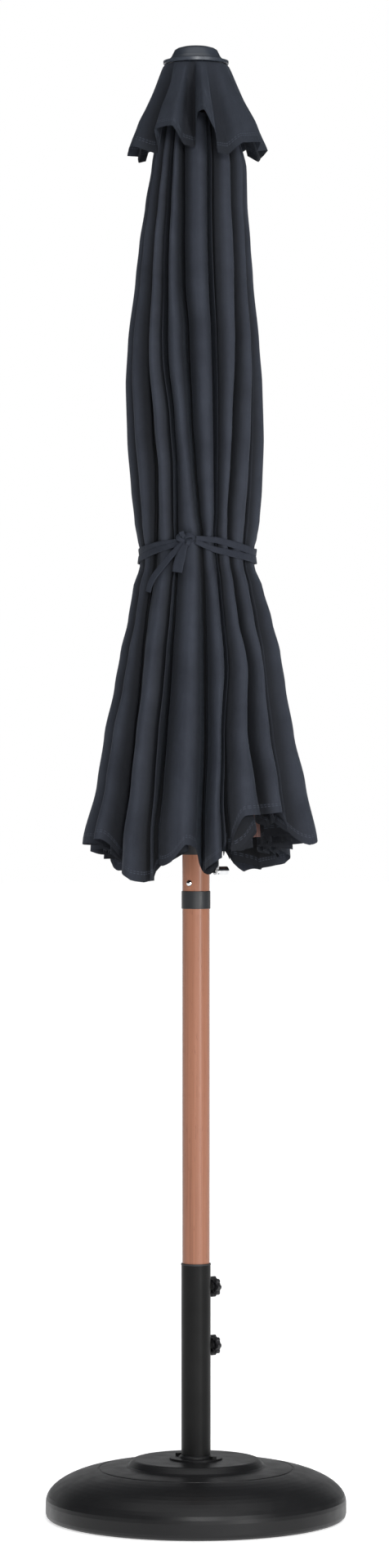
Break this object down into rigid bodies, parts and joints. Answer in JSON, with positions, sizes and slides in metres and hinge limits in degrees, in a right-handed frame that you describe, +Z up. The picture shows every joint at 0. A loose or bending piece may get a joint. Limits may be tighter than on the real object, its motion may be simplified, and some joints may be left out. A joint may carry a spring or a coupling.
{
  "type": "patio umbrella with base",
  "caption": "Closed crank-lift patio umbrella with folded dark cloth canopy, vent, tie strap, wood-look pole and a heavy round base with clamp knobs.",
  "frame": {"origin": "the middle of the round base, on the floor", "axes": "+Z up along the pole; the crank and the clamp knobs point to +X and a little to +Y; -Y is the side that was seen"},
  "size_m": [0.528, 0.528, 2.586],
  "materials": {
    "base_coat": "satin",
    "concrete": "matte",
    "black_plastic": "satin",
    "plated_steel": "satin",
    "pole_finish": "gloss",
    "collar_plastic": "satin",
    "bright_chrome": "polished",
    "cord_braid": "matte",
    "cap_plastic": "satin",
    "canopy_cloth": "matte",
    "rib_wood": "satin"
  },
  "bodies": {
    "base": {"base_shell": "base_coat", "base_weight": "concrete", "bottom_plate": "base_coat", "flange_plate": "base_coat", "flange_bolts": "base_coat", "base_tube": "base_coat", "clamp_nuts": "base_coat"},
    "swivel_bush": {"tube_bush": "black_plastic"},
    "pole": {"lower_pole": "pole_finish", "pole_spigot": "plated_steel", "pole_collar": "collar_plastic", "pole_foot_cap": "black_plastic", "button_spring": "plated_steel", "upper_pole": "pole_finish", "crank_housing": "black_plastic", "housing_screws": "plated_steel", "lift_cord": "cord_braid", "pulley_pin": "plated_steel", "top_hub": "black_plastic", "hub_pins": "plated_steel", "finial_cap": "cap_plastic", "vent_canopy": "canopy_cloth"},
    "clamp_screw_1": {"clamp_screw_1": "plated_steel"},
    "clamp_screw_2": {"clamp_screw_2": "plated_steel"},
    "clamp_knob_1": {"clamp_knob_1": "black_plastic"},
    "clamp_knob_2": {"clamp_knob_2": "black_plastic"},
    "snap_button": {"snap_button": "bright_chrome"},
    "crank": {"crank_spool": "plated_steel", "crank_arm": "bright_chrome", "grip_rivet": "bright_chrome"},
    "crank_grip": {"crank_grip": "bright_chrome"},
    "top_pulley": {"top_pulley": "black_plastic"},
    "runner": {"runner": "black_plastic"},
    "rib_1": {"rib_1": "rib_wood", "canopy_panel_1": "canopy_cloth"},
    "strut_1": {"strut_1": "rib_wood"},
    "rib_2": {"rib_2": "rib_wood", "canopy_panel_2": "canopy_cloth"},
    "strut_2": {"strut_2": "rib_wood"},
    "rib_3": {"rib_3": "rib_wood", "canopy_panel_3": "canopy_cloth"},
    "strut_3": {"strut_3": "rib_wood"},
    "rib_4": {"rib_4": "rib_wood", "canopy_panel_4": "canopy_cloth"},
    "strut_4": {"strut_4": "rib_wood"},
    "rib_5": {"rib_5": "rib_wood", "canopy_panel_5": "canopy_cloth"},
    "strut_5": {"strut_5": "rib_wood"},
    "rib_6": {"rib_6": "rib_wood", "canopy_panel_6": "canopy_cloth"},
    "strut_6": {"strut_6": "rib_wood"},
    "rib_7": {"rib_7": "rib_wood", "canopy_panel_7": "canopy_cloth", "tie_strap": "canopy_cloth"},
    "strut_7": {"strut_7": "rib_wood"},
    "rib_8": {"rib_8": "rib_wood", "canopy_panel_8": "canopy_cloth"},
    "strut_8": {"strut_8": "rib_wood"}
  },
  "joints": [
    {"name": "pole_swivel", "type": "hinge", "parent": "base", "child": "swivel_bush", "pos_m": [0, 0, 0.43], "axis": [0, 0, 1], "continuous": true},
    {"name": "pole_lift", "type": "slide", "parent": "swivel_bush", "child": "pole", "axis": [0, 0, 1], "range_m": [0, 0.335]},
    {"name": "clamp_1_travel", "type": "slide", "parent": "base", "child": "clamp_screw_1", "axis": [0.766, 0.6428, 0], "range_m": [0, 0.0038]},
    {"name": "clamp_1_turn", "type": "hinge", "parent": "clamp_screw_1", "child": "clamp_knob_1", "pos_m": [0.03064, 0.02571, 0.301], "axis": [0.766, 0.6428, 0], "range_deg": [0, 1080]},
    {"name": "clamp_2_travel", "type": "slide", "parent": "base", "child": "clamp_screw_2", "axis": [0.766, 0.6428, 0], "range_m": [0, 0.0038]},
    {"name": "clamp_2_turn", "type": "hinge", "parent": "clamp_screw_2", "child": "clamp_knob_2", "pos_m": [0.03064, 0.02571, 0.404], "axis": [0.766, 0.6428, 0], "range_deg": [0, 1080]},
    {"name": "snap_button_press", "type": "slide", "parent": "pole", "child": "snap_button", "axis": [0.5, 0.866, 0], "range_m": [0, 0.0045], "stiffness_N_per_m": 600, "springref_m": -0.002, "deforming": ["button_spring"]},
    {"name": "crank_turn", "type": "hinge", "parent": "pole", "child": "crank", "pos_m": [0.03064, 0.02571, 1.2], "axis": [0.766, 0.6428, 0], "range_deg": [0, 4667]},
    {"name": "grip_spin", "type": "hinge", "parent": "crank", "child": "crank_grip", "pos_m": [0.04443, 0.03728, 1.137], "axis": [0.766, 0.6428, 0], "continuous": true},
    {"name": "pulley_turn", "type": "hinge", "parent": "pole", "child": "top_pulley", "pos_m": [0, 0, 2.455], "axis": [0.766, 0.6428, 0], "range_deg": [0, 4667]},
    {"name": "runner_lift", "type": "slide", "parent": "pole", "child": "runner", "axis": [0, 0, 1], "range_m": [0, 0.8558]},
    {"name": "rib_1_fold", "type": "hinge", "parent": "pole", "child": "rib_1", "pos_m": [0.03477, -0.00932, 2.5], "axis": [-0.2588, -0.9659, 0], "range_deg": [0, 71.8], "deforming": ["vent_canopy"]},
    {"name": "strut_1_fold", "type": "hinge", "parent": "rib_1", "child": "strut_1", "pos_m": [0.04976, -0.01333, 1.89993], "axis": [-0.2588, -0.9659, 0], "range_deg": [-144, 0]},
    {"name": "rib_2_fold", "type": "hinge", "parent": "pole", "child": "rib_2", "pos_m": [0.03118, 0.018, 2.5], "axis": [0.5, -0.866, 0], "range_deg": [0, 72]},
    {"name": "strut_2_fold", "type": "hinge", "parent": "rib_2", "child": "strut_2", "pos_m": [0.04462, 0.02576, 1.89993], "axis": [0.5, -0.866, 0], "range_deg": [-144, 0]},
    {"name": "rib_3_fold", "type": "hinge", "parent": "pole", "child": "rib_3", "pos_m": [0.00932, 0.03477, 2.5], "axis": [0.9659, -0.2588, 0], "range_deg": [0, 72]},
    {"name": "strut_3_fold", "type": "hinge", "parent": "rib_3", "child": "strut_3", "pos_m": [0.01333, 0.04976, 1.89993], "axis": [0.9659, -0.2588, 0], "range_deg": [-144, 0]},
    {"name": "rib_4_fold", "type": "hinge", "parent": "pole", "child": "rib_4", "pos_m": [-0.018, 0.03118, 2.5], "axis": [0.866, 0.5, 0], "range_deg": [0, 72]},
    {"name": "strut_4_fold", "type": "hinge", "parent": "rib_4", "child": "strut_4", "pos_m": [-0.02576, 0.04462, 1.89993], "axis": [0.866, 0.5, 0], "range_deg": [-144, 0]},
    {"name": "rib_5_fold", "type": "hinge", "parent": "pole", "child": "rib_5", "pos_m": [-0.03477, 0.00932, 2.5], "axis": [0.2588, 0.9659, 0], "range_deg": [0, 72]},
    {"name": "strut_5_fold", "type": "hinge", "parent": "rib_5", "child": "strut_5", "pos_m": [-0.04976, 0.01333, 1.89993], "axis": [0.2588, 0.9659, 0], "range_deg": [-144, 0]},
    {"name": "rib_6_fold", "type": "hinge", "parent": "pole", "child": "rib_6", "pos_m": [-0.03118, -0.018, 2.5], "axis": [-0.5, 0.866, 0], "range_deg": [0, 72]},
    {"name": "strut_6_fold", "type": "hinge", "parent": "rib_6", "child": "strut_6", "pos_m": [-0.04462, -0.02576, 1.89993], "axis": [-0.5, 0.866, 0], "range_deg": [-144, 0]},
    {"name": "rib_7_fold", "type": "hinge", "parent": "pole", "child": "rib_7", "pos_m": [-0.00932, -0.03477, 2.5], "axis": [-0.9659, 0.2588, 0], "range_deg": [0, 72], "deforming": ["tie_strap"]},
    {"name": "strut_7_fold", "type": "hinge", "parent": "rib_7", "child": "strut_7", "pos_m": [-0.01333, -0.04976, 1.89993], "axis": [-0.9659, 0.2588, 0], "range_deg": [-144, 0]},
    {"name": "rib_8_fold", "type": "hinge", "parent": "pole", "child": "rib_8", "pos_m": [0.018, -0.03118, 2.5], "axis": [-0.866, -0.5, 0], "range_deg": [0, 72]},
    {"name": "strut_8_fold", "type": "hinge", "parent": "rib_8", "child": "strut_8", "pos_m": [0.02576, -0.04462, 1.89993], "axis": [-0.866, -0.5, 0], "range_deg": [-144, 0]}
  ],
  "couplings": [
    {"joint": "clamp_1_travel", "follows": "clamp_1_turn", "m_per_rad": 0.00019894},
    {"joint": "clamp_2_travel", "follows": "clamp_2_turn", "m_per_rad": 0.00019894},
    {"joint": "strut_1_fold", "follows": "rib_1_fold", "ratio": -2},
    {"joint": "rib_2_fold", "follows": "rib_1_fold", "ratio": 1},
    {"joint": "strut_2_fold", "follows": "rib_1_fold", "ratio": -2},
    {"joint": "rib_3_fold", "follows": "rib_1_fold", "ratio": 1},
    {"joint": "strut_3_fold", "follows": "rib_1_fold", "ratio": -2},
    {"joint": "rib_4_fold", "follows": "rib_1_fold", "ratio": 1},
    {"joint": "strut_4_fold", "follows": "rib_1_fold", "ratio": -2},
    {"joint": "rib_5_fold", "follows": "rib_1_fold", "ratio": 1},
    {"joint": "strut_5_fold", "follows": "rib_1_fold", "ratio": -2},
    {"joint": "rib_6_fold", "follows": "rib_1_fold", "ratio": 1},
    {"joint": "strut_6_fold", "follows": "rib_1_fold", "ratio": -2},
    {"joint": "rib_7_fold", "follows": "rib_1_fold", "ratio": 1},
    {"joint": "strut_7_fold", "follows": "rib_1_fold", "ratio": -2},
    {"joint": "rib_8_fold", "follows": "rib_1_fold", "ratio": 1},
    {"joint": "strut_8_fold", "follows": "rib_1_fold", "ratio": -2},
    {"joint": "runner_lift", "follows": "rib_1_fold", "m_per_rad": 0.68211},
    {"joint": "crank_turn", "follows": "rib_1_fold", "ratio": 64.963},
    {"joint": "pulley_turn", "follows": "rib_1_fold", "ratio": 64.963}
  ]
}
